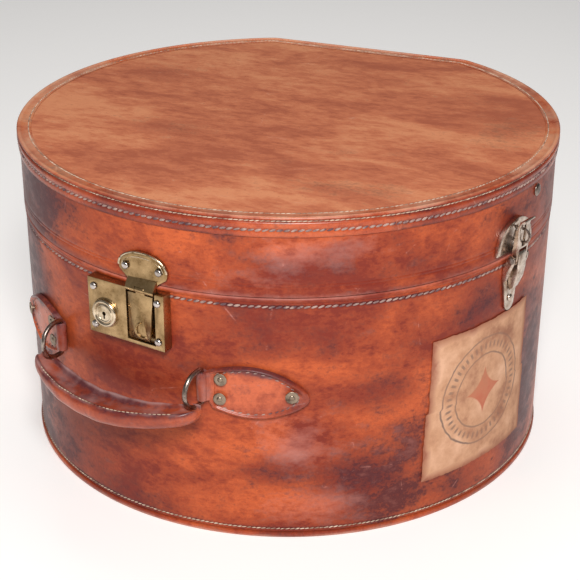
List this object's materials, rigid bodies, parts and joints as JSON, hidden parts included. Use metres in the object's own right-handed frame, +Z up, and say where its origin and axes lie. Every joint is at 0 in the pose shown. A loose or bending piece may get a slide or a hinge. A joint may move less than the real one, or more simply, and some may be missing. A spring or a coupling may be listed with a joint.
{
  "type": "hat box",
  "caption": "Round leather hat box with one straight hinge side, a hinged stitched lid, a flap lock, side clasps and a leather handle on D-rings.",
  "frame": {"origin": "middle of the round plan, on the surface that the box stands on", "axes": "+Z up, +Y out through the straight hinge side, the lock on the -Y side"},
  "size_m": [0.4203, 0.4255, 0.245],
  "materials": {
    "side_leather": "waxed red-brown hide, worn and stained",
    "lid_leather": "waxed tan hide with streaks and stains",
    "handle_leather": "worn stitched strap leather",
    "board": "fibre board, covered",
    "lining": "plain woven lining",
    "brass": "dull antique brass",
    "steel": "worn nickel-plated steel",
    "paper": "aged baggage label paper"
  },
  "bodies": {
    "box": {"base_panel": "side_leather", "body_side": "side_leather", "body_board": "board", "body_lining": "lining", "lock_case": "brass", "lock_rivet_1": "steel", "lock_rivet_2": "steel", "lock_rivet_3": "steel", "lock_rivet_4": "steel", "handle_patch_left": "handle_leather", "handle_patch_right": "handle_leather", "patch_rivet_left_1": "steel", "patch_rivet_left_2": "steel", "patch_rivet_left_3": "steel", "patch_rivet_right_1": "steel", "patch_rivet_right_2": "steel", "patch_rivet_right_3": "steel", "clasp_base_left": "steel", "clasp_pin_left": "steel", "clasp_cover_left": "steel", "clasp_rivet_left": "steel", "clasp_base_right": "steel", "clasp_pin_right": "steel", "clasp_cover_right": "steel", "clasp_rivet_right": "steel", "hinge_body_leaf_1": "brass", "hinge_pin_1": "steel", "hinge_body_leaf_2": "brass", "hinge_pin_2": "steel", "paper_label": "paper"},
    "lid": {"lid_side": "side_leather", "lid_top": "lid_leather", "lid_binding": "side_leather", "lid_lining": "lining", "hasp_plate": "brass", "hasp_rivet_1": "steel", "hasp_rivet_2": "steel", "flap_pin": "steel", "clasp_plate_left": "steel", "clasp_staple_left": "steel", "clasp_plate_right": "steel", "clasp_staple_right": "steel", "lid_stud_left": "steel", "lid_stud_right": "steel", "hinge_lid_leaf_1": "brass", "hinge_lid_leaf_2": "brass"},
    "flap": {"lock_flap": "brass"},
    "key_barrel": {"lock_barrel": "brass"},
    "bolt": {"lock_bolt": "steel"},
    "grip": {"handle_grip": "handle_leather"},
    "ring_left": {"d_ring_left": "steel"},
    "ring_right": {"d_ring_right": "steel"},
    "lever_left": {"clasp_lever_left": "steel"},
    "lever_right": {"clasp_lever_right": "steel"}
  },
  "joints": [
    {"name": "lid_hinge", "type": "hinge", "parent": "box", "child": "lid", "pos_m": [0, 0.1857, 0.18725], "axis": [-1, 0, 0], "range_deg": [0, 105]},
    {"name": "flap_hinge", "type": "hinge", "parent": "lid", "child": "flap", "pos_m": [-0.02328, -0.20401, 0.1838], "axis": [-0.9848, 0.1736, 0], "range_deg": [0, 125]},
    {"name": "barrel_turn", "type": "hinge", "parent": "box", "child": "key_barrel", "pos_m": [-0.05202, -0.2, 0.16], "axis": [0.1736, 0.9848, 0], "range_deg": [0, 90]},
    {"name": "bolt_slide", "type": "slide", "parent": "box", "child": "bolt", "axis": [0.9848, -0.1736, 0], "range_m": [0, 0.005]},
    {"name": "handle_swing", "type": "hinge", "parent": "box", "child": "grip", "pos_m": [-0.04329, -0.19526, 0.12], "axis": [-0.9763, 0.2164, 0], "range_deg": [-8, 85]},
    {"name": "ring_left_swing", "type": "hinge", "parent": "box", "child": "ring_left", "pos_m": [-0.1035, -0.17577, 0.12], "axis": [0, 0, 1], "range_deg": [-6, 6]},
    {"name": "ring_right_swing", "type": "hinge", "parent": "box", "child": "ring_right", "pos_m": [0.01952, -0.20304, 0.12], "axis": [0, 0, 1], "range_deg": [-6, 6]},
    {"name": "lever_left_pivot", "type": "hinge", "parent": "box", "child": "lever_left", "pos_m": [-0.20583, 0.00827, 0.186], "axis": [-0.0401, -0.9992, 0], "range_deg": [0, 100]},
    {"name": "lever_right_pivot", "type": "hinge", "parent": "box", "child": "lever_right", "pos_m": [0.19625, -0.06263, 0.186], "axis": [0.304, 0.9527, 0], "range_deg": [0, 100]}
  ],
  "couplings": [
    {"joint": "bolt_slide", "follows": "barrel_turn", "m_per_rad": 0.0031513}
  ]
}
